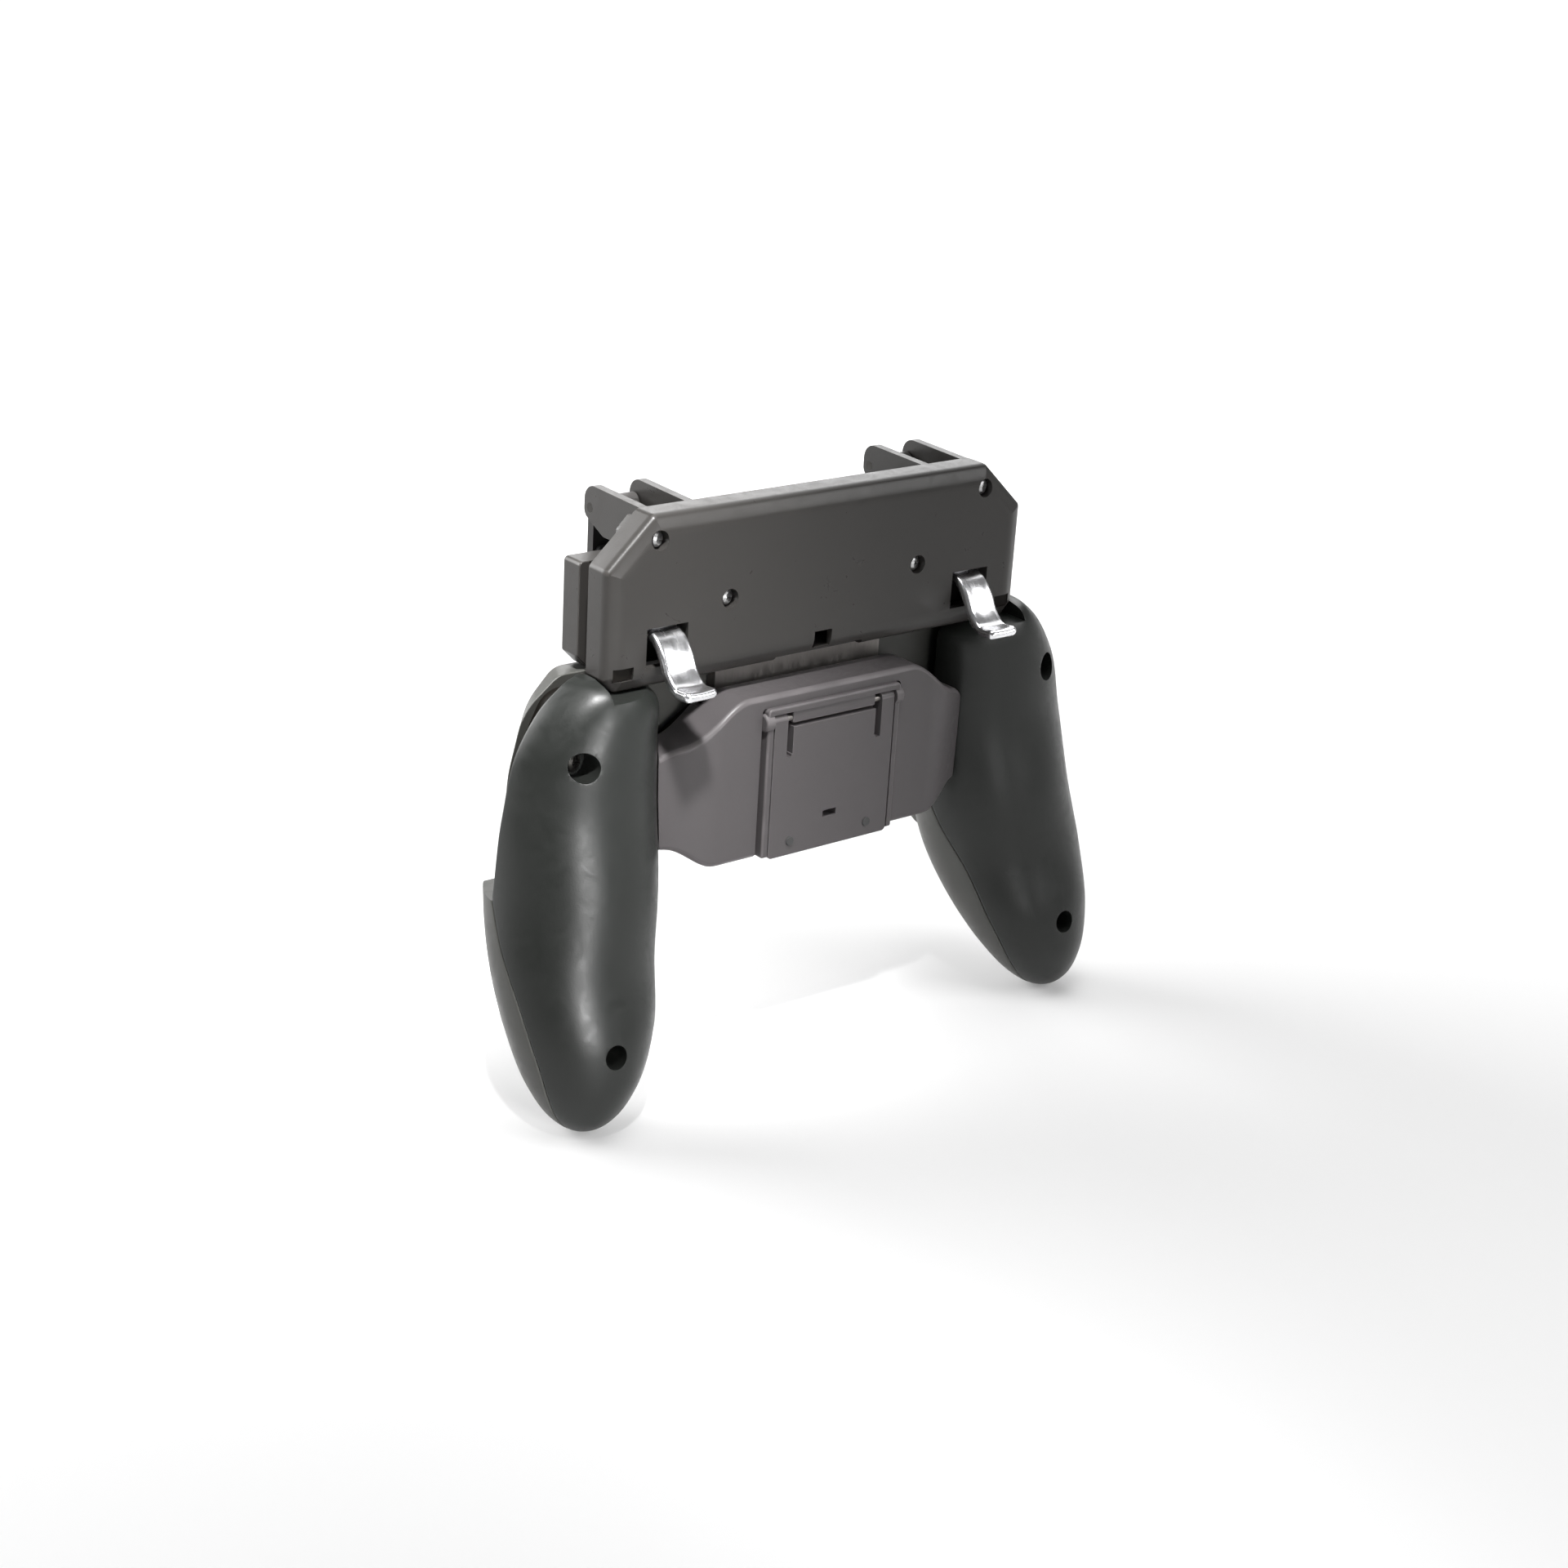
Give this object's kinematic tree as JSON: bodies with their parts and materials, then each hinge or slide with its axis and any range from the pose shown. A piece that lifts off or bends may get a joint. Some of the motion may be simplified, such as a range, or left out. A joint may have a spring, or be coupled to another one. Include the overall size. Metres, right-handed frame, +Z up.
{
  "type": "phone trigger grip",
  "caption": "Two-handled clip-on grip for a phone: spring-loaded sliding clamp with finger triggers that swing touch arms onto the screen, and a folding kickstand.",
  "frame": {"origin": "on the face that the held device leans on, midway between the grips and midway between the ledges and the closed jaw", "axes": "+X along the width to the holder's right hand, +Y out of the back, +Z up towards the jaw and the touch arms"},
  "size_m": [0.1544, 0.0475, 0.1228],
  "materials": {
    "shell_plastic": "satin",
    "box_plastic": "satin",
    "core_plastic": "matt",
    "arm_plastic": "satin",
    "polished_metal": "polished",
    "spring_steel": "satin",
    "black_rubber": "matt"
  },
  "bodies": {
    "housing": {"front_shell": "shell_plastic", "mid_frame": "core_plastic", "centre_rear_shell": "shell_plastic", "right_grip_rear_shell": "shell_plastic", "left_grip_rear_shell": "shell_plastic", "right_grip_front_shell": "shell_plastic", "left_grip_front_shell": "shell_plastic", "right_ledge_pad": "black_rubber", "left_ledge_pad": "black_rubber", "grip_screws": "spring_steel", "kickstand_pins": "spring_steel", "right_return_spring": "spring_steel", "left_return_spring": "spring_steel"},
    "carriage": {"slide_plate": "spring_steel", "carriage_core": "core_plastic", "carriage_plate": "box_plastic", "fin_bracket": "box_plastic", "jaw_pad": "black_rubber", "trigger_box_cover": "box_plastic", "box_screws": "spring_steel", "right_trigger_pin": "spring_steel", "left_trigger_pin": "spring_steel", "right_trigger_spring": "spring_steel", "left_trigger_spring": "spring_steel", "right_touch_pin": "spring_steel", "left_touch_pin": "spring_steel"},
    "right_trigger": {"right_trigger": "polished_metal"},
    "left_trigger": {"left_trigger": "polished_metal"},
    "right_touch_arm": {"right_touch_arm": "arm_plastic", "right_touch_pad": "black_rubber"},
    "left_touch_arm": {"left_touch_arm": "arm_plastic", "left_touch_pad": "black_rubber"},
    "kickstand": {"kickstand_leaf": "shell_plastic", "kickstand_feet": "black_rubber"}
  },
  "joints": [
    {"name": "clamp_slide", "type": "slide", "parent": "housing", "child": "carriage", "axis": [0, 0, 1], "range_m": [0, 0.014], "stiffness_N_per_m": 250, "springref_m": -0.02, "deforming": ["right_return_spring", "left_return_spring"]},
    {"name": "right_trigger_pull", "type": "hinge", "parent": "carriage", "child": "right_trigger", "pos_m": [0.04, 0.0113, 0.0246], "axis": [1, 0, 0], "range_deg": [-12, 0], "stiffness_Nm_per_rad": 0.15, "springref_deg": 14.32},
    {"name": "left_trigger_pull", "type": "hinge", "parent": "carriage", "child": "left_trigger", "pos_m": [-0.04, 0.0113, 0.0246], "axis": [1, 0, 0], "range_deg": [-12, 0], "stiffness_Nm_per_rad": 0.15, "springref_deg": 14.32},
    {"name": "right_touch_swing", "type": "hinge", "parent": "carriage", "child": "right_touch_arm", "pos_m": [0.0365, -0.0078, 0.0422], "axis": [1, 0, 0], "range_deg": [0, 7.5], "stiffness_Nm_per_rad": 0.02, "springref_deg": -14.32},
    {"name": "left_touch_swing", "type": "hinge", "parent": "carriage", "child": "left_touch_arm", "pos_m": [-0.0365, -0.0078, 0.0422], "axis": [1, 0, 0], "range_deg": [0, 7.5], "stiffness_Nm_per_rad": 0.02, "springref_deg": -14.32},
    {"name": "kickstand_fold", "type": "hinge", "parent": "housing", "child": "kickstand", "pos_m": [0, 0.0204, 0.0009], "axis": [1, 0, 0], "range_deg": [0, 65]}
  ],
  "couplings": [
    {"joint": "right_touch_swing", "follows": "right_trigger_pull", "ratio": -0.6186},
    {"joint": "left_touch_swing", "follows": "left_trigger_pull", "ratio": -0.6186}
  ]
}
